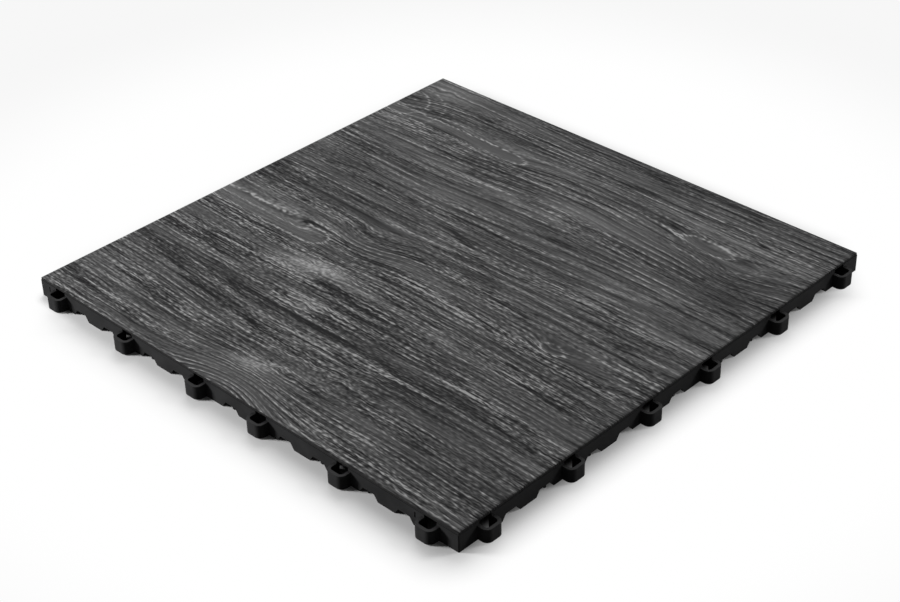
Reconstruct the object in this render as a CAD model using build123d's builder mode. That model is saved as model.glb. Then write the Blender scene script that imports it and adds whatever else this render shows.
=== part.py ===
from build123d import *
from math import atan2, degrees
import os

# Interlocking floor tile: a moulded base with loops on two sides and pegs under the overhanging
# edge of the other two, and a vinyl sheet bonded on top. The loops of a laid tile carry the edge
# of the next one and hold its pegs. Millimetres, +Z up, origin under the middle of the deck.

# Base
tile_side = 400.0           # side of the square deck, and the pitch of laid tiles
base_height = 12.5          # floor to the top of the deck
deck_thickness = 1.5
skirt_thickness = 2.4
tile_corner = 0.8           # round on the upright corners

# Vinyl sheet
sheet_thickness = 2.0
sheet_inset = 0.5           # step from the edge of the deck to the edge of the sheet
sheet_bevel = 0.3           # eased top edge

# Ribs under the deck
rib_pitch = 41.0
rib_thickness = 1.6

# Drain arches in the foot of the skirt and of the ribs
arch_base = 15.6
arch_top = 9.4
arch_height = 4.5
arch_to_loop = 22.0         # middle of a loop to the middle of the arch beside it

# Loops on the front and right sides
loop_to_corner = 22.5       # corner of the tile to the middle of the outermost loop
loop_pitch = 73.75
loop_width = 14.5
loop_reach = 8.2            # how far a loop stands out from the side
loop_wall = 2.2
loop_corner = 4.4           # outer corners of a loop, seen from above
loop_foot = 0.8             # floor to the underside of a loop
loop_drop = 0.3             # underside of the deck to the rim of a loop

# Pegs on the back and left sides, which drop into the loops of the next tile
peg_clearance = 0.4         # peg to the hole of a loop
nose_clearance = 2.5        # loop of the next tile to the skirt behind the pegs
peg_foot = 1.2              # floor to the end of a peg
peg_lead = 0.8              # chamfer that guides a peg into its loop

# Relief slots in the front side, beside its two outermost loops
slot_width = 1.0
slot_height = 4.0
slot_depth = 0.8
slot_drop = 2.0             # top of the deck to the top of a slot
slot_to_loop = 12.6

# Values that follow from the sizes above
half_side = tile_side / 2
sheet_side = tile_side - 2 * sheet_inset
deck_underside = base_height - deck_thickness
overhang = loop_reach + nose_clearance
skirt_side = tile_side - overhang
inner_side = skirt_side - 2 * skirt_thickness
loop_rim = deck_underside - loop_drop
hole_width = loop_width - 2 * loop_wall
hole_reach = loop_reach - loop_wall
hole_corner = loop_corner - loop_wall
peg_width = hole_width - 2 * peg_clearance
peg_depth = hole_reach - 2 * peg_clearance
peg_corner = hole_corner - peg_clearance
arch_slope = degrees(atan2(arch_height, (arch_base - arch_top) / 2))

# Turns about Z that bring the front side (-Y) to each side of the tile
front, right, back, left = 0, 90, 180, 270
loop_sides = (front, right)
peg_sides = (back, left)

# The skirt is flush with the deck on the loop sides and set back on the peg sides
skirt_distance = {front: half_side, right: half_side, back: half_side - overhang, left: half_side - overhang}
skirt_centre = (overhang / 2, -overhang / 2)


def mirrored(distances):
    """The distances on both sides of the middle of a side."""
    return sorted({sign * distance for distance in distances for sign in (-1, 1)})


def along_side(turn):
    """Direction in which a side runs, seen from outside from left to right."""
    return Vector(1, 0, 0).rotate(Axis.Z, turn)


def plan_of_side(turn, height):
    """Level plane whose -y points out of the given side."""
    return Plane(origin=(0, 0, height), x_dir=along_side(turn), z_dir=(0, 0, 1))


def face_of_skirt(turn):
    """Upright plane on the outer face of the skirt of the given side, y up, looking outwards."""
    outwards = Vector(0, -1, 0).rotate(Axis.Z, turn)
    return Plane(origin=outwards * skirt_distance[turn], x_dir=along_side(turn), z_dir=outwards)


def drain_arch():
    """Outline of one drain arch, standing on the floor."""
    return Trapezoid(arch_base, arch_height, arch_slope, align=(Align.CENTER, Align.MIN))


# Stations along a side, measured from its middle
outermost_loop = half_side - loop_to_corner
loops_per_half = 1 + int((outermost_loop - arch_to_loop) // loop_pitch)
loop_offsets = [outermost_loop - n * loop_pitch for n in range(loops_per_half)]
loop_stations = mirrored(loop_offsets)
arch_offsets = [0.0]
arch_offsets += [offset - arch_to_loop for offset in loop_offsets[:-1]]
arch_offsets += [offset + arch_to_loop for offset in loop_offsets[1:]]
arch_stations = mirrored(arch_offsets)
slot_stations = [station - slot_to_loop for station in (loop_stations[0], loop_stations[-1])]

# Rib lines, and the middles of the cells between them from a loop side to the peg side across
ribs_per_half = int((inner_side / 2 - overhang / 2 - arch_base) // rib_pitch)
rib_stations = [n * rib_pitch for n in range(-ribs_per_half, ribs_per_half + 1)]
near_wall = skirt_thickness - half_side
cell_edges = [near_wall] + rib_stations + [near_wall + inner_side]
cell_middles = [(low + high) / 2 for low, high in zip(cell_edges, cell_edges[1:])]

with BuildPart() as base_tile:
    # Grid of ribs, as deep as the skirt
    with BuildSketch():
        with Locations(*[(skirt_centre[0], station) for station in rib_stations]):
            Rectangle(inner_side, rib_thickness)
        with Locations(*[(station, skirt_centre[1]) for station in rib_stations]):
            Rectangle(rib_thickness, inner_side)
    extrude(amount=deck_underside)

    # Drain arches in the ribs, one in each wall of a cell, in line across the tile
    with BuildSketch(Plane.XZ):
        with Locations(*[(-middle, 0) for middle in cell_middles]):
            drain_arch()
    extrude(amount=half_side, both=True, mode=Mode.SUBTRACT)
    with BuildSketch(Plane.YZ):
        with Locations(*[(middle, 0) for middle in cell_middles]):
            drain_arch()
    extrude(amount=half_side, both=True, mode=Mode.SUBTRACT)

    # Skirt around the ribs, with its two loop sides carried on to the corners of the tile
    with BuildSketch():
        with Locations(skirt_centre):
            Rectangle(skirt_side, skirt_side)
            Rectangle(inner_side, inner_side, mode=Mode.SUBTRACT)
        with Locations((0, -half_side)):
            Rectangle(tile_side, skirt_thickness, align=(Align.CENTER, Align.MIN))
        with Locations((half_side, 0)):
            Rectangle(skirt_thickness, tile_side, align=(Align.MAX, Align.CENTER))
        RectangleRounded(tile_side, tile_side, tile_corner, mode=Mode.INTERSECT)
    extrude(amount=deck_underside)

    # Deck
    with BuildSketch(Plane.XY.offset(deck_underside)):
        RectangleRounded(tile_side, tile_side, tile_corner)
    extrude(amount=deck_thickness)

    # Drain arches in the foot of the skirt
    for turn in loop_sides + peg_sides:
        with BuildSketch(face_of_skirt(turn)):
            with Locations(*[(station, 0) for station in arch_stations]):
                drain_arch()
        extrude(amount=-skirt_thickness, mode=Mode.SUBTRACT)

    # Loops: straps bent round a hole that runs on as a notch through the skirt and the deck's edge
    for turn in loop_sides:
        with BuildSketch(plan_of_side(turn, loop_foot)) as straps:
            with Locations(*[(station, skirt_thickness - half_side) for station in loop_stations]):
                Rectangle(loop_width, loop_reach + skirt_thickness, align=(Align.CENTER, Align.MAX))
            fillet(straps.vertices().group_by(Axis.Y)[0], radius=loop_corner)
        extrude(amount=loop_rim - loop_foot)
        with BuildSketch(plan_of_side(turn, 0)) as holes:
            with Locations(*[(station, skirt_thickness - half_side) for station in loop_stations]):
                Rectangle(hole_width, hole_reach + skirt_thickness, align=(Align.CENTER, Align.MAX))
            fillet(holes.vertices().group_by(Axis.Y)[0], radius=hole_corner)
        extrude(amount=base_height, mode=Mode.SUBTRACT)

    # Pegs: posts under the overhanging edge of the deck
    for turn in peg_sides:
        with BuildSketch(plan_of_side(turn, peg_foot)) as posts:
            with Locations(*[(station, peg_clearance - half_side) for station in loop_stations]):
                Rectangle(peg_width, peg_depth, align=(Align.CENTER, Align.MIN))
            fillet(posts.vertices().group_by(Axis.Y)[-1], radius=peg_corner)
        extrude(amount=deck_underside - peg_foot)
    peg_ends = base_tile.edges().filter_by_position(Axis.Z, peg_foot, peg_foot)
    chamfer(peg_ends, length=peg_lead)

    # Relief slots in the front side
    with BuildSketch(face_of_skirt(front)):
        with Locations(*[(station, base_height - slot_drop) for station in slot_stations]):
            Rectangle(slot_width, slot_height, align=(Align.CENTER, Align.MAX))
    extrude(amount=-slot_depth, mode=Mode.SUBTRACT)

with BuildPart() as vinyl_sheet:
    with BuildSketch(Plane.XY.offset(base_height)):
        Rectangle(sheet_side, sheet_side)
    extrude(amount=sheet_thickness)
    chamfer(vinyl_sheet.faces().sort_by(Axis.Z)[-1].edges(), length=sheet_bevel)

base_tile.part.label = "base_tile"
vinyl_sheet.part.label = "vinyl_sheet"

os.makedirs("parts", exist_ok=True)
export_step(base_tile.part, "parts/base_tile.step")
export_step(vinyl_sheet.part, "parts/vinyl_sheet.step")
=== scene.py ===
"""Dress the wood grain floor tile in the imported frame: finishes, embossed sheet, studio and camera."""

import logging
import math
from dataclasses import dataclass, fields
from enum import Enum
from typing import Any

import bmesh
import bpy
from mathutils import Matrix, Vector


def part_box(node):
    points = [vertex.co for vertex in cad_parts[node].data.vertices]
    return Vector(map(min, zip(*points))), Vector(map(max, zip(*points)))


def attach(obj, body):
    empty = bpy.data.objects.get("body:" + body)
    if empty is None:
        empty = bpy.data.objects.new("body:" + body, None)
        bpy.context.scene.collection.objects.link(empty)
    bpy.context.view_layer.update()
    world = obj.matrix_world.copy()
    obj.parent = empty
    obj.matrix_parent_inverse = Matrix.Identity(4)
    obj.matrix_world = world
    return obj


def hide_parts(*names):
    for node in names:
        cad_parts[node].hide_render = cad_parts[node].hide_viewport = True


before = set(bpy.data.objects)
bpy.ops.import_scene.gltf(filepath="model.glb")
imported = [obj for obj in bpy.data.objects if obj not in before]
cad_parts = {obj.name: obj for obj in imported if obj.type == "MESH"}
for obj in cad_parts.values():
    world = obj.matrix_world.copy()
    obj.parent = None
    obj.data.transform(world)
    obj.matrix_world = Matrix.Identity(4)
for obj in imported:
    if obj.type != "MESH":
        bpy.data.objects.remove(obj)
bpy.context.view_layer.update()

MM = 0.001
NOISE_MIDDLE = 0.5
NOISE_GAIN = 4.0
log = logging.getLogger("floor_tile")

Colour = tuple[float, float, float, float]


def grey(shade: float) -> Colour:
    """A neutral colour of the given linear brightness."""
    return (shade, shade, shade, 1.0)


@dataclass(frozen=True)
class Signal:
    """One value socket of a node tree, which ordinary operators turn into Math nodes."""

    graph: "Graph"
    socket: bpy.types.NodeSocket

    def __add__(self, other: "Signal | float") -> "Signal":
        """The sum."""
        return self.graph.math("ADD", self, other)

    def __sub__(self, other: "Signal | float") -> "Signal":
        """The difference."""
        return self.graph.math("SUBTRACT", self, other)

    def __rsub__(self, other: float) -> "Signal":
        """A number less this value."""
        return self.graph.math("SUBTRACT", other, self)

    def __mul__(self, other: "Signal | float") -> "Signal":
        """The product."""
        return self.graph.math("MULTIPLY", self, other)

    def __gt__(self, other: "Signal | float") -> "Signal":
        """One where this value is the greater, else nought."""
        return self.graph.math("GREATER_THAN", self, other)

    __radd__ = __add__
    __rmul__ = __mul__


class Graph:
    """A node tree, of a material, the world or a modifier, that is filled by plain calls."""

    def __init__(self, tree: bpy.types.NodeTree) -> None:
        """Take over a tree and empty it."""
        self.tree = tree
        tree.nodes.clear()

    def node(
        self,
        kind: str,
        settings: dict[str, Any] | None = None,
        sockets: dict[str | int, Any] | None = None,
    ) -> bpy.types.Node:
        """Add any node.

        Args:
            kind: Blender's name of the node's type.
            settings: Properties of the node, which are set first.
            sockets: Values or links of its inputs, by name or number.

        Returns:
            The new node.
        """
        node = self.tree.nodes.new(kind)
        for name, value in (settings or {}).items():
            setattr(node, name, value)
        for key, value in (sockets or {}).items():
            socket = node.inputs[key]
            if isinstance(value, Signal):
                self.tree.links.new(value.socket, socket)
            elif isinstance(value, bpy.types.NodeSocket):
                self.tree.links.new(value, socket)
            else:
                socket.default_value = value
        return node

    def signal(self, node: bpy.types.Node, output: str | int = 0) -> Signal:
        """An output of a node as a value to calculate with."""
        return Signal(self, node.outputs[output])

    def math(self, operation: str, *values: "Signal | float") -> Signal:
        """A Math node on values or numbers."""
        return self.signal(self.node("ShaderNodeMath", {"operation": operation}, dict(enumerate(values))))

    def ramp(self, value: Signal, low: float, high: float, start: float, end: float) -> Signal:
        """Ease a value from one range into another.

        Args:
            value: What is eased.
            low: The value that gives start.
            high: The value that gives end.
            start: The result at low and below.
            end: The result at high and above.

        Returns:
            The eased value.
        """
        settings = {"interpolation_type": "SMOOTHSTEP"}
        sockets = {"Value": value, "From Min": low, "From Max": high, "To Min": start, "To Max": end}
        return self.signal(self.node("ShaderNodeMapRange", settings, sockets))

    def parts(self, vector: bpy.types.NodeSocket) -> list[Signal]:
        """The three parts of a vector."""
        node = self.node("ShaderNodeSeparateXYZ", None, {"Vector": vector})
        return [self.signal(node, axis) for axis in range(3)]

    def vector(self, *values: "Signal | float") -> bpy.types.NodeSocket:
        """A vector made of three values."""
        return self.node("ShaderNodeCombineXYZ", None, dict(enumerate(values))).outputs[0]

    def noise(self, x: Signal, y: Signal, seed: float) -> Signal:
        """Smooth noise about nought, from roughly -1 to 1.

        Args:
            x: First coordinate, in cells of the noise.
            y: Second coordinate, in cells of the noise.
            seed: Third coordinate, which picks the pattern.

        Returns:
            The noise.
        """
        sockets = {"Vector": self.vector(x, y, seed), "Scale": 1.0, "Detail": 0.0}
        node = self.node("ShaderNodeTexNoise", {"noise_dimensions": "3D"}, sockets)
        return (self.signal(node) - NOISE_MIDDLE) * NOISE_GAIN

    def mix(self, factor: Signal, first: Any, second: Any) -> bpy.types.NodeSocket:
        """A colour between two others, first where the factor is nought."""
        node = self.node("ShaderNodeMix", {"data_type": "RGBA"}, {0: factor, 6: first, 7: second})
        return node.outputs[2]


class Run(Enum):
    """How far a figure of the grain goes along the boards."""

    ROUND = "fades to both sides"
    TONGUE = "comes in from the left edge and ends in a tip"


@dataclass(frozen=True)
class Figure:
    """A knot, eye, tip or bow of the grain, in millimetres from the sheet's middle.

    Lift bends the grain aside and swirl tangles it. Tone makes the print paler, rings strengthens its
    thin lines, calm takes out the others, fleck sprinkles it and outline draws its rim. Slant leans it.
    """

    x: float
    y: float
    reach_x: float
    reach_y: float
    lift: float = 0.0
    tone: float = 0.0
    rings: float = 0.0
    calm: float = 0.0
    swirl: float = 0.0
    fleck: float = 0.0
    outline: float = 0.0
    slant: float = 0.0
    run: Run = Run.ROUND
    rim_level: float = 0.5
    rim_sharpness: float = 1.3

    def mask(self, graph: Graph, x: Signal, y: Signal) -> Signal:
        """Where the figure is.

        Args:
            graph: The tree that gets the nodes.
            x: Place along the grain, in millimetres.
            y: Place across the grain, in millimetres.

        Returns:
            One in its middle, fading to nought at its reach.
        """
        across = (y - self.y) * (1 / self.reach_y)
        along = (x - self.x) * (1 / self.reach_x)
        if self.slant:
            along = along + across * self.slant
        if self.run is Run.TONGUE:
            return graph.math("EXPONENT", across * across * -1.0) * graph.ramp(along, -1.0, 0.0, 1.0, 0.0)
        return graph.math("EXPONENT", (along * along + across * across) * -1.0)

    def rim(self, graph: Graph, x: Signal, y: Signal) -> Signal:
        """The figure's outline, one on the line itself and nought a millimetre or two away."""
        away = (self.mask(graph, x, y) - self.rim_level) * (self.rim_sharpness * self.reach_y)
        return graph.math("EXPONENT", away * away * -1.0)


@dataclass(frozen=True)
class GrainFigures:
    """The figures of this sheet's print, named for what they are."""

    broad_rise: Figure = Figure(5, 124, 72, 40, lift=-7)
    left_slope: Figure = Figure(-60, 95, 150, 60, lift=-3)
    back_shade: Figure = Figure(20, 196, 190, 10, tone=-1.2)
    corner_bow: Figure = Figure(-198, 150, 30, 24, lift=10, rings=0.4, outline=2.0, calm=0.4)
    outer_bow: Figure = Figure(-198, 146, 52, 38, outline=1.6)
    corner_knot: Figure = Figure(-176, 182, 34, 16, tone=1.6, rings=-0.3, swirl=1.5, fleck=0.2, calm=0.6)
    upper_tip: Figure = Figure(-84, 141, 36, 9, lift=7, tone=-0.3, rings=-0.3, calm=0.6)
    upper_rim: Figure = Figure(-40, 139, 30, 7, rings=-0.4, outline=3.0, calm=0.8, run=Run.TONGUE)
    eye: Figure = Figure(118, 136, 28, 8, lift=6, tone=-0.1, rings=-0.5, outline=2.6, calm=0.85)
    eye_ring: Figure = Figure(128, 132, 46, 15, rings=-0.1, outline=1.3, calm=0.4)
    eye_dip: Figure = Figure(152, 116, 26, 18, lift=5, rings=0.3)
    eye_rise: Figure = Figure(204, 126, 26, 22, lift=-5, rings=0.3)
    middle_tip: Figure = Figure(-70, -35, 60, 10, lift=7, rings=0.3, run=Run.TONGUE)
    inner_rim: Figure = Figure(-93, -33, 30, 4.5, tone=0.8, outline=1.8, run=Run.TONGUE)
    outer_rim: Figure = Figure(-70, -37, 32, 11, rings=-0.8, outline=3.0, calm=0.8, run=Run.TONGUE)
    left_shade: Figure = Figure(-200, 4, 45, 12, tone=-1.2)
    dip: Figure = Figure(-62, -20, 30, 24, lift=9, rings=0.5, calm=0.4)
    lens: Figure = Figure(-4, -33, 22, 4, tone=1.9, slant=-0.5)
    small_knot: Figure = Figure(120, -29, 13, 6.5, lift=5, tone=-0.4, outline=3.4, swirl=2, calm=0.7)
    knot_lens: Figure = Figure(117, -33, 60, 12, lift=4, rings=0.4)
    knot_shade: Figure = Figure(148, -31, 26, 6, tone=-1.3, rings=-0.6, calm=0.8)
    knot_line: Figure = Figure(105, -44, 55, 1.8, tone=1.5)
    swirl_patch: Figure = Figure(
        -68, -66, 34, 14, tone=3.3, rings=-0.4, swirl=2, fleck=0.6, slant=-0.5, calm=0.6
    )
    little_patch: Figure = Figure(-37, -102, 11, 8, tone=2.1, rings=-0.5, swirl=2, fleck=0.4, calm=0.6)
    dark_band: Figure = Figure(-50, -115, 120, 6, tone=-2.1)
    flecks: Figure = Figure(42, -147, 46, 15, swirl=1.5, fleck=1.0, calm=0.4)
    lower_knot: Figure = Figure(
        -12, -168, 18, 10, tone=2.4, rings=-0.3, swirl=2.5, fleck=0.5, slant=-0.6, calm=0.5
    )
    lower_bow: Figure = Figure(-8, -200, 44, 24, lift=-20, rings=0.9, calm=0.7)

    def each(self) -> list[Figure]:
        """All the figures, in order."""
        return [getattr(self, entry.name) for entry in fields(self)]


@dataclass(frozen=True)
class Streak:
    """One size of soft streak: its length and width in millimetres and its share of the contrast."""

    length: float
    width: float
    weight: float
    seed: float

    def lines(self, graph: Graph, along: Signal, across: Signal) -> Signal:
        """The streaks of this size, light above nought and dark below."""
        return graph.noise(along * (1 / self.length), across * (1 / self.width), self.seed) * self.weight


@dataclass(frozen=True)
class Thread:
    """Thin pale printed lines along the growth rings, each with painted shade at one side, in millimetres.
    """

    pitch: float
    width: float
    length: float
    weight: float
    seed: float
    drift_length: float = 260.0
    drift_width: float = 34.0
    drift_share: float = 0.9
    line_step: float = 0.77
    base: float = 0.75
    variation: float = 0.8
    painted_shade_aside: float = 1.7
    painted_shade_share: float = 0.85

    def lines(self, graph: Graph, along: Signal, across: Signal, boost: Signal) -> Signal:
        """The thin lines.

        Args:
            graph: The tree that gets the nodes.
            along: Place along the grain, in millimetres.
            across: Place across the grain, in millimetres.
            boost: What is added to the strength of every line, as round a knot.

        Returns:
            Light above nought on the printed lines and dark below on their painted shade.
        """
        slow = Streak(self.drift_length, self.drift_width, self.drift_share, self.seed)
        drift = slow.lines(graph, along, across)
        phase = across * (1 / self.pitch) + drift
        place = (graph.math("FRACT", phase) - 0.5) * (self.pitch / self.width)
        number = graph.math("FLOOR", phase) * self.line_step
        change = graph.noise(along * (1 / self.length), number, self.seed + 1.0) * self.variation
        strength = change + self.base + boost
        # Painted shade: a dark line beside each pale ring stands for the shaded side of its embossed ridge.
        painted_shade_place = place + self.painted_shade_aside
        pale = graph.math("EXPONENT", place * place * -1.0)
        dark = graph.math("EXPONENT", painted_shade_place * painted_shade_place * -1.0)
        return (pale - dark * self.painted_shade_share) * graph.math("MAXIMUM", strength, 0.0) * self.weight


@dataclass(frozen=True)
class Pores:
    """Thin dark lines that wander along the grain where slow noise passes nought, in millimetres."""

    length: float
    spacing: float
    fineness: float
    weight: float
    seed: float
    fade_rate: float = 3.0
    fade_base: float = 0.9

    def lines(self, graph: Graph, along: Signal, across: Signal) -> Signal:
        """The lines of pores.

        Args:
            graph: The tree that gets the nodes.
            along: Place along the grain, in millimetres.
            across: Place across the grain, in millimetres.

        Returns:
            Nought between the lines and below it on them.
        """
        across = across * (1 / self.spacing)
        near = graph.noise(along * (1 / self.length), across, self.seed) * self.fineness
        fade = graph.noise(along * (self.fade_rate / self.length), across, self.seed + 1.0)
        strength = graph.math("MAXIMUM", fade + self.fade_base, 0.0)
        return graph.math("EXPONENT", near * near * -1.0) * strength * -self.weight


@dataclass(frozen=True)
class GrainStreaks:
    """The sizes of line in the grain, from broad to fine, and how they come and go over the sheet."""

    cloud: Streak = Streak(160, 60, 0.32, 3.1)
    band: Streak = Streak(140, 18, 0.6, 7.7)
    line: Streak = Streak(110, 6.5, 0.6, 12.3)
    hair: Streak = Streak(40, 1.7, 1.2, 23.5)
    tick: Streak = Streak(4.0, 1.1, 1.3, 29.1)
    wide_pores: Pores = Pores(100, 5.0, 6.0, 1.5, 71.3)
    close_pores: Pores = Pores(40, 2.2, 4.5, 1.6, 77.1)
    wide_rings: Thread = Thread(6.4, 1.0, 70, 1.6, 17.9)
    close_rings: Thread = Thread(4.1, 0.8, 40, 1.3, 37.3)
    cluster: Streak = Streak(110, 15, 0.6, 91.3)
    cluster_least: float = 0.25
    speckle: Streak = Streak(2.6, 2.2, 1.6, 61.7)
    waver: Streak = Streak(12, 9, 0.7, 83.9)
    close_to: float = -80.0
    wide_from: float = 0.0
    wide_least: float = 0.3
    close_least: float = 0.25

    def soft(self, graph: Graph, along: Signal, grain: Signal) -> Signal:
        """The soft streaks that run on for a long way."""
        broad = self.cloud.lines(graph, along, grain) + self.band.lines(graph, along, grain)
        return broad + self.line.lines(graph, along, grain)

    def pores(self, graph: Graph, along: Signal, grain: Signal) -> Signal:
        """The dark lines of pores, wide apart and close together."""
        return self.wide_pores.lines(graph, along, grain) + self.close_pores.lines(graph, along, grain)

    def clusters(self, graph: Graph, along: Signal, grain: Signal) -> Signal:
        """How strong the broken lines are from place to place, about one."""
        return graph.math("MAXIMUM", self.cluster.lines(graph, along, grain) + 1.0, self.cluster_least)

    def thin(self, graph: Graph, along: Signal, grain: Signal, place: Signal, boost: Signal) -> Signal:
        """The thin lines, wider apart towards the back of the sheet and closer towards the front.

        Args:
            graph: The tree that gets the nodes.
            along: Place along the grain, in millimetres.
            grain: Place across the grain as it bends round its figures, in millimetres.
            place: Place across the sheet, in millimetres.
            boost: What is added to the strength of every line.

        Returns:
            Light above nought and dark below, with painted shade beside each pale line.
        """
        wide = self.wide_rings.lines(graph, along, grain, boost)
        close = self.close_rings.lines(graph, along, grain, boost)
        wide_share = graph.ramp(place, self.close_to, self.wide_from, self.wide_least, 1.0)
        close_share = graph.ramp(place, self.close_to, self.wide_from, 1.0, self.close_least)
        return wide * wide_share + close * close_share


@dataclass(frozen=True)
class GrainVinyl:
    """The printed and embossed wood grain of the top sheet, in charcoal grey."""

    dark: Colour = (0.012, 0.012, 0.0125, 1.0)
    light: Colour = grey(0.30)
    edge: Colour = grey(0.026)
    middle: float = 0.071
    spread: float = 0.395
    roughness: float = 0.55
    roughness_change: float = 0.05
    specular: float = 0.04
    emboss: float = 0.10
    emboss_strength: float = 0.5
    outline_base: float = 0.8
    outline_break: float = 0.6
    thread_break: float = 0.4
    broken_reach: float = 60.0
    broken_front: float = 1.35
    broken_back: float = 0.8
    streaks: GrainStreaks = GrainStreaks()

    def stored(self, graph: Graph, name: str) -> bpy.types.Node:
        """The node that reads an attribute of the embossed mesh."""
        return graph.node("ShaderNodeAttribute", {"attribute_name": name})

    def material(self, top: float, figures: GrainFigures) -> bpy.types.Material:
        """Make the material.

        Args:
            top: Height of the sheet's bevel, in metres, below which the plain edge shows.
            figures: The figures of the print, whose outlines are drawn here.

        Returns:
            The material.
        """
        made = bpy.data.materials.new("grain_vinyl_print")
        made.use_nodes = True
        graph = Graph(made.node_tree)
        x, y, z = graph.parts(graph.node("ShaderNodeTexCoord").outputs["Object"])
        along, height = x * (1 / MM), y * (1 / MM)
        grain = graph.signal(self.stored(graph, "grain"), "Fac")
        fleck = graph.signal(self.stored(graph, "fleck"), "Fac")
        tone, rings, calm = graph.parts(self.stored(graph, "figure").outputs["Vector"])
        streaks = self.streaks
        uneven = height + streaks.waver.lines(graph, along, height)
        soft = streaks.soft(graph, along, grain)
        ticks = streaks.tick.lines(graph, along, grain)
        outline = ticks * self.outline_break + self.outline_base
        for drawn in figures.each():
            if drawn.outline:
                tone = tone + drawn.rim(graph, along, uneven) * outline * drawn.outline
        # The thin lines carry painted shade, a dark side to each pale ring as if its emboss were lit.
        thin = streaks.thin(graph, along, grain, height, rings) * (ticks * self.thread_break + 1.0)
        broken = streaks.hair.lines(graph, along, grain) + ticks
        reach = self.broken_reach
        broken = broken * graph.ramp(height, -reach, reach, self.broken_front, self.broken_back)
        fine = (streaks.pores(graph, along, grain) + broken) * streaks.clusters(graph, along, grain) + thin
        speckle = streaks.speckle.lines(graph, along, height) * fleck
        lines = (soft + fine) * (1 - calm) + thin * calm + speckle
        shade = graph.math("EXPONENT", (lines + tone) * self.spread) * self.middle
        share = (shade - self.dark[0]) * (1 / (self.light[0] - self.dark[0]))
        printed = graph.mix(share, self.dark, self.light)
        colour = graph.mix(z > top, self.edge, printed)
        pressed = {"Height": fine + speckle, "Strength": self.emboss_strength, "Distance": self.emboss * MM}
        bump = graph.node("ShaderNodeBump", None, pressed)
        surface = graph.node(
            "ShaderNodeBsdfPrincipled",
            None,
            {
                "Base Color": colour,
                "Roughness": self.roughness - fine * self.roughness_change,
                "Specular IOR Level": self.specular,
                "Normal": bump.outputs[0],
            },
        )
        graph.node("ShaderNodeOutputMaterial", None, {"Surface": surface.outputs[0]})
        return made


@dataclass(frozen=True)
class MouldedBlack:
    """The matte black plastic of the moulded base, with the fine grain of a spark-eroded mould."""

    deep: Colour = (0.023, 0.023, 0.0235, 1.0)
    pale: Colour = (0.037, 0.037, 0.0376, 1.0)
    roughness: float = 0.55
    roughness_change: float = 0.3
    specular: float = 0.02
    patch: float = 14.0
    patch_detail: float = 4.0
    patch_share: float = 0.7
    mottle: tuple[float, float] = (0.3, 0.7)
    pit: float = 0.5
    pit_detail: float = 2.0
    pit_depth: float = 0.03
    pit_strength: float = 0.6

    def material(self) -> bpy.types.Material:
        """Make the material.

        Returns:
            The material.
        """
        made = bpy.data.materials.new("base_moulded_black")
        made.use_nodes = True
        graph = Graph(made.node_tree)
        place = graph.node("ShaderNodeTexCoord").outputs["Object"]
        cells = {"Vector": place, "Scale": 1 / (self.patch * MM), "Detail": self.patch_detail}
        patch = graph.signal(graph.node("ShaderNodeTexNoise", None, cells))
        cells = {"Vector": place, "Scale": 1 / (self.pit * MM), "Detail": self.pit_detail}
        pits = graph.signal(graph.node("ShaderNodeTexNoise", None, cells))
        uneven = patch * self.patch_share + pits * (1 - self.patch_share)
        colour = graph.mix(graph.ramp(uneven, *self.mottle, 0.0, 1.0), self.deep, self.pale)
        pitted = {"Height": pits, "Strength": self.pit_strength, "Distance": self.pit_depth * MM}
        bump = graph.node("ShaderNodeBump", None, pitted)
        surface = graph.node(
            "ShaderNodeBsdfPrincipled",
            None,
            {
                "Base Color": colour,
                "Roughness": self.roughness + (patch - NOISE_MIDDLE) * self.roughness_change,
                "Specular IOR Level": self.specular,
                "Normal": bump.outputs[0],
            },
        )
        graph.node("ShaderNodeOutputMaterial", None, {"Surface": surface.outputs[0]})
        return made


@dataclass
class BaseTile:
    """The moulded base, which keeps its CAD shape and gets its finish."""

    finish: MouldedBlack = MouldedBlack()

    def build(self) -> bpy.types.Object:
        """Dress the base's CAD node.

        Returns:
            The node.
        """
        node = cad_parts["base_tile"]
        node.data.materials.clear()
        node.data.materials.append(self.finish.material())
        return node


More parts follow.
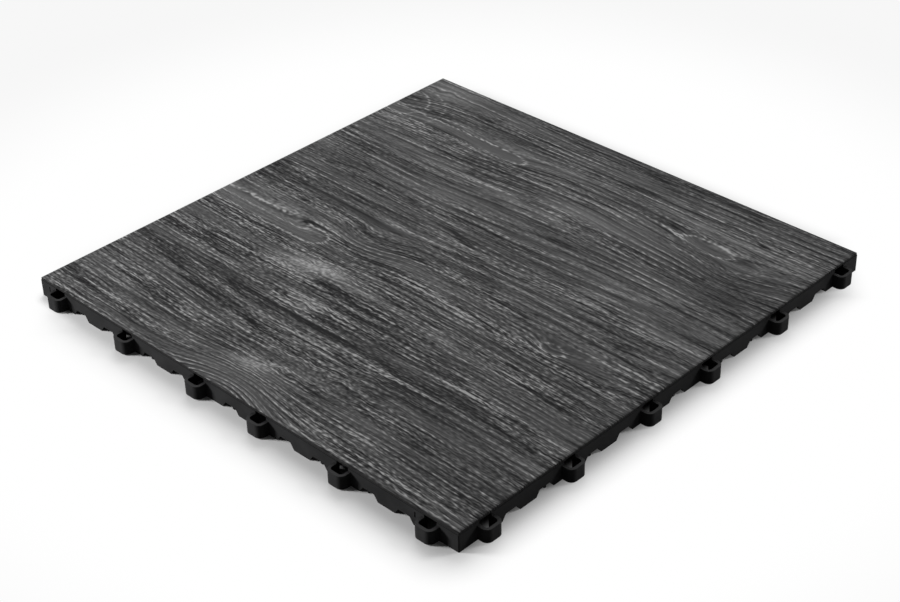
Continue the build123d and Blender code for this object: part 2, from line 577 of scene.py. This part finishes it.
@dataclass
class VinylSheet:
    """The embossed vinyl sheet: a slab with a bevelled rim, whose top follows the grain."""

    low: Vector
    high: Vector
    bevel: float = 0.3 * MM
    bevel_slack: float = 0.003 * MM
    columns: int = 212
    rows: int = 440
    depth: float = 0.06 * MM
    press_reach: float = 1.2
    wander: Streak = Streak(170, 80, 2.5, 41.3)
    ripple: Streak = Streak(24, 14, 0.25, 47.9)
    twist: Streak = Streak(13, 8, 1.0, 53.1)
    figures: GrainFigures = GrainFigures()
    finish: GrainVinyl = GrainVinyl()

    def blank(self) -> bpy.types.Object:
        """Make the plain slab, closed, with a fine net of faces on top.

        Returns:
            The slab as a new object at the origin.
        """
        middle, half = (self.low + self.high) / 2, (self.high - self.low) / 2
        net = bmesh.new()
        bmesh.ops.create_grid(net, x_segments=self.columns, y_segments=self.rows, size=1.0)
        for vert in net.verts:
            vert.co.x = middle.x + vert.co.x * (half.x - self.bevel)
            vert.co.y = middle.y + vert.co.y * (half.y - self.bevel)
            vert.co.z = self.high.z
        for face in net.faces:
            face.smooth = True
        for outwards, level in ((self.bevel, self.high.z - self.bevel), (0.0, self.low.z)):
            rim = [edge for edge in net.edges if edge.is_boundary]
            made = bmesh.ops.extrude_edge_only(net, edges=rim)["geom"]
            for vert in (item for item in made if isinstance(item, bmesh.types.BMVert)):
                for axis in range(2):
                    away = vert.co[axis] - middle[axis]
                    if abs(away) > half[axis] - self.bevel - self.bevel_slack:
                        vert.co[axis] += math.copysign(outwards, away)
                vert.co.z = level
            for face in (item for item in made if isinstance(item, bmesh.types.BMFace)):
                face.smooth = False
        rim = [edge for edge in net.edges if edge.is_boundary]
        bmesh.ops.contextual_create(net, geom=rim)
        bmesh.ops.recalc_face_normals(net, faces=net.faces[:])
        mesh = bpy.data.meshes.new("embossed_sheet")
        net.to_mesh(mesh)
        net.free()
        sheet = bpy.data.objects.new("embossed_sheet", mesh)
        bpy.context.collection.objects.link(sheet)
        return sheet

    def emboss_tree(self, made: bpy.types.Material) -> tuple[bpy.types.NodeTree, str, str]:
        """Make the Geometry Nodes tree that bends the grain round its figures and presses it in.

        Args:
            made: The material that the sheet gets.

        Returns:
            The tree, and the identifiers of its inputs for the top's height and the emboss depth.
        """
        tree = bpy.data.node_groups.new("grain_emboss", "GeometryNodeTree")
        interface = tree.interface
        interface.new_socket("Sheet", in_out="INPUT", socket_type="NodeSocketGeometry")
        top = interface.new_socket("Top height", in_out="INPUT", socket_type="NodeSocketFloat")
        depth = interface.new_socket("Emboss depth", in_out="INPUT", socket_type="NodeSocketFloat")
        interface.new_socket("Sheet", in_out="OUTPUT", socket_type="NodeSocketGeometry")
        graph = Graph(tree)
        given = graph.node("NodeGroupInput")
        x, y, z = graph.parts(graph.node("GeometryNodeInputPosition").outputs[0])
        x, y = x * (1 / MM), y * (1 / MM)
        twist = self.twist.lines(graph, x, y)
        grain = y + self.wander.lines(graph, x, y) + self.ripple.lines(graph, x, y)
        tone, rings, calm, fleck = 0.0, 0.0, 0.0, 0.0
        for drawn in self.figures.each():
            mask = drawn.mask(graph, x, y)
            if drawn.lift:
                grain = grain + mask * drawn.lift
            if drawn.swirl:
                grain = grain + mask * twist * drawn.swirl
            if drawn.tone:
                tone = tone + mask * drawn.tone
            if drawn.rings:
                rings = rings + mask * drawn.rings
            if drawn.fleck:
                fleck = fleck + mask * drawn.fleck
            if drawn.calm:
                calm = graph.math("MAXIMUM", calm, mask * drawn.calm)
        # The thin lines, their painted shade sides included, set the press: pale rings stay high, dark
        # sides sink.
        thin = self.finish.streaks.thin(graph, x, grain, y, rings)
        hollow = graph.ramp(thin, -self.press_reach, self.press_reach, 1.0, 0.0)
        pressed = hollow * graph.signal(given, "Emboss depth") * -1.0
        on_top = z > graph.signal(given, "Top height") - self.bevel / 2
        sheet = given.outputs["Sheet"]
        figure = graph.vector(tone, rings, calm)
        kept = (("grain", "FLOAT", grain), ("fleck", "FLOAT", fleck), ("figure", "FLOAT_VECTOR", figure))
        for name, kind, value in kept:
            stored = {"Geometry": sheet, "Name": name, "Value": value}
            sheet = graph.node("GeometryNodeStoreNamedAttribute", {"data_type": kind}, stored).outputs[0]
        moved = {"Geometry": sheet, "Selection": on_top, "Offset": graph.vector(0.0, 0.0, pressed)}
        sheet = graph.node("GeometryNodeSetPosition", None, moved).outputs[0]
        sheet = graph.node("GeometryNodeRealizeInstances", None, {"Geometry": sheet}).outputs[0]
        dressed = {"Geometry": sheet, "Material": made}
        sheet = graph.node("GeometryNodeSetMaterial", None, dressed).outputs[0]
        graph.node("NodeGroupOutput", None, {"Sheet": sheet})
        return tree, top.identifier, depth.identifier

    def build(self) -> bpy.types.Object:
        """Make the embossed sheet in place of its CAD node.

        Returns:
            The sheet, as a plain mesh.
        """
        sheet = self.blank()
        tree, top, depth = self.emboss_tree(self.finish.material(self.high.z - self.bevel, self.figures))
        modifier = sheet.modifiers.new("grain_emboss", "NODES")
        modifier.node_group = tree
        modifier[top] = self.high.z
        modifier[depth] = self.depth
        graph = bpy.context.evaluated_depsgraph_get()
        mesh = bpy.data.meshes.new_from_object(
            sheet.evaluated_get(graph), preserve_all_data_layers=True, depsgraph=graph
        )
        sheet.modifiers.clear()
        sheet.data = mesh
        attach(sheet, "root")
        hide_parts("vinyl_sheet")
        return sheet


@dataclass(frozen=True)
class Lamp:
    """A soft square lamp that points at the tile, in metres and watts."""

    name: str
    place: tuple[float, float, float]
    size: float
    power: float

    def build(self) -> None:
        """Put the lamp in the scene."""
        data = bpy.data.lights.new(self.name, "AREA")
        data.shape = "SQUARE"
        data.size = self.size
        data.energy = self.power
        lamp = bpy.data.objects.new(self.name, data)
        lamp.location = self.place
        lamp.rotation_euler = (-Vector(self.place)).to_track_quat("-Z", "Y").to_euler()
        bpy.context.collection.objects.link(lamp)


@dataclass(frozen=True)
class PhotoCamera:
    """The photograph's view: angles in degrees, lengths in millimetres, the focal length in pixels."""

    azimuth: float = 44.845
    elevation: float = 33.767
    roll: float = -1.638
    distance: float = 1307.4
    aside: float = 0.48
    above: float = -25.13
    focal: float = 1890.7
    image_width: float = 900.0
    sensor: float = 36.0

    def build(self, aim_height: float) -> None:
        """Put the camera in the scene.

        Args:
            aim_height: Height of the tile's top over the floor, in metres.
        """
        turn, rise, roll = (math.radians(a) for a in (self.azimuth, self.elevation, self.roll))
        back = Vector((math.sin(turn) * math.cos(rise), -math.cos(turn) * math.cos(rise), math.sin(rise)))
        level = Vector((0, 0, 1)).cross(back).normalized()
        upright = back.cross(level)
        right = level * math.cos(roll) + upright * math.sin(roll)
        up = upright * math.cos(roll) - level * math.sin(roll)
        data = bpy.data.cameras.new("photo_camera")
        data.sensor_width = self.sensor
        data.lens = self.focal * self.sensor / self.image_width
        camera = bpy.data.objects.new("photo_camera", data)
        place = (back * self.distance + right * self.aside + up * self.above) * MM
        place.z += aim_height
        turned = Matrix((right, up, back)).transposed().to_4x4()
        camera.matrix_world = Matrix.Translation(place) @ turned
        bpy.context.collection.objects.link(camera)
        bpy.context.scene.camera = camera


@dataclass
class Studio:
    """The pale floor, soft lamps and white surroundings."""

    floor_half: float = 4.0
    floor_shade: float = 0.78
    far_shade: float = 0.93
    far_reach: tuple[float, float] = (330.0, 500.0)
    # Painted shadow: the floor's white glow fades in from glow_from to glow_to mm past the box shade_x by
    # shade_y.
    glow_from: float = 3.0
    glow_to: float = 42.0
    # Painted light: past the left and right corners the glow comes back sooner and clears the shadow there.
    corner_glow: tuple[float, float] = (340.0, 410.0)
    corner_soft: float = 10.0
    shade_x: tuple[float, float] = (-193.0, 188.0)
    shade_y: tuple[float, float] = (-198.0, 193.0)
    ambient: float = 0.04
    bounce: float = 0.12
    lamps: tuple[Lamp, ...] = (
        Lamp("left_lamp", (-1.1, -1.15, 0.65), 0.4, 32.0),
        Lamp("right_lamp", (0.95, 1.15, 0.9), 0.4, 11.0),
        Lamp("back_lamp", (-0.9, 0.9, 1.2), 1.2, 18.5),
    )

    def seen(self, graph: Graph) -> Signal:
        """Tell the rays that show the background, straight, in a reflection or through glass.

        Args:
            graph: The tree that gets the nodes.

        Returns:
            One for those rays, else nought.
        """
        path = graph.node("ShaderNodeLightPath")
        kinds = ("Camera", "Glossy", "Transmission")
        straight, mirrored, through = (graph.signal(path, f"Is {kind} Ray") for kind in kinds)
        return graph.math("MINIMUM", straight + mirrored + through, 1.0)

    def floor(self) -> None:
        """Make the floor, which glows white to the camera and keeps the tile's shadow, partly real diffuse
        shade and partly painted by the glow's mask.
        """
        mesh = bpy.data.meshes.new("studio_floor")
        half = self.floor_half
        corners = [(-half, -half, 0), (half, -half, 0), (half, half, 0), (-half, half, 0)]
        mesh.from_pydata(corners, [], [(0, 1, 2, 3)])
        floor = bpy.data.objects.new("studio_floor", mesh)
        bpy.context.collection.objects.link(floor)
        made = bpy.data.materials.new("studio_floor_white")
        made.use_nodes = True
        graph = Graph(made.node_tree)
        x, y, _ = graph.parts(graph.node("ShaderNodeTexCoord").outputs["Object"])
        x, y = x * (1 / MM), y * (1 / MM)
        # Painted shadow: the glow is held back round the tile, so the camera sees the grey floor_shade
        # there, darker than the white beyond, with the real diffuse shadow on it.
        beyond = ((x, self.shade_x), (y, self.shade_y))
        beyond = (graph.math("MAXIMUM", v - high, low - v) for v, (low, high) in beyond)
        out_x, out_y = (graph.math("MAXIMUM", v, 0.0) for v in beyond)
        outside = graph.math("SQRT", out_x * out_x + out_y * out_y)
        # Painted light: near the left and right corners the glow comes back sooner and clears the shadow.
        corner = graph.ramp(graph.math("ABSOLUTE", x + y), *self.corner_glow, 0.0, 1.0)
        corner = corner * graph.ramp(outside, self.glow_from, self.glow_from + self.corner_soft, 0.0, 1.0)
        painted_shadow_fade = graph.ramp(outside, self.glow_from, self.glow_to, 0.0, 1.0)
        glow = graph.math("MAXIMUM", painted_shadow_fade, corner)
        far = graph.ramp(graph.math("SQRT", x * x + y * y), *self.far_reach, 0.0, 1.0)
        seen = self.seen(graph)
        shade = graph.mix(seen, grey(self.bounce), grey(self.floor_shade))
        matte = graph.node("ShaderNodeBsdfDiffuse", None, {"Color": shade})
        backdrop = graph.mix(far, grey(1.0), grey(self.far_shade))
        white = graph.node("ShaderNodeEmission", None, {"Color": backdrop, "Strength": 1.0})
        both = {0: seen * glow, 1: matte.outputs[0], 2: white.outputs[0]}
        surface = graph.node("ShaderNodeMixShader", None, both)
        graph.node("ShaderNodeOutputMaterial", None, {"Surface": surface.outputs[0]})
        mesh.materials.append(made)

    def surroundings(self) -> None:
        """Light the scene evenly from all round, and look like the far floor past its edge."""
        world = bpy.data.worlds.new("studio_white")
        world.use_nodes = True
        bpy.context.scene.world = world
        graph = Graph(world.node_tree)
        shade = grey(self.far_shade)
        soft = graph.node("ShaderNodeBackground", None, {"Color": shade, "Strength": self.ambient})
        plain = graph.node("ShaderNodeBackground", None, {"Color": shade, "Strength": 1.0})
        both = {0: self.seen(graph), 1: soft.outputs[0], 2: plain.outputs[0]}
        surface = graph.node("ShaderNodeMixShader", None, both)
        graph.node("ShaderNodeOutputWorld", None, {"Surface": surface.outputs[0]})

    def build(self) -> None:
        """Set up the floor, the surroundings and the lamps."""
        self.floor()
        self.surroundings()
        for lamp in self.lamps:
            lamp.build()
        bpy.context.scene.view_settings.view_transform = "Standard"


def main() -> None:
    """Build the pieces in order, then the studio and the camera."""
    logging.basicConfig(level=logging.INFO, format="%(message)s")
    base = BaseTile().build()
    log.info("%s: %d faces", base.name, len(base.data.polygons))
    low, high = (Vector(corner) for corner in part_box("vinyl_sheet"))
    sheet = VinylSheet(low, high).build()
    log.info("%s: %d faces", sheet.name, len(sheet.data.polygons))
    Studio().build()
    PhotoCamera().build(high.z)


if __name__ == "__main__":
    main()
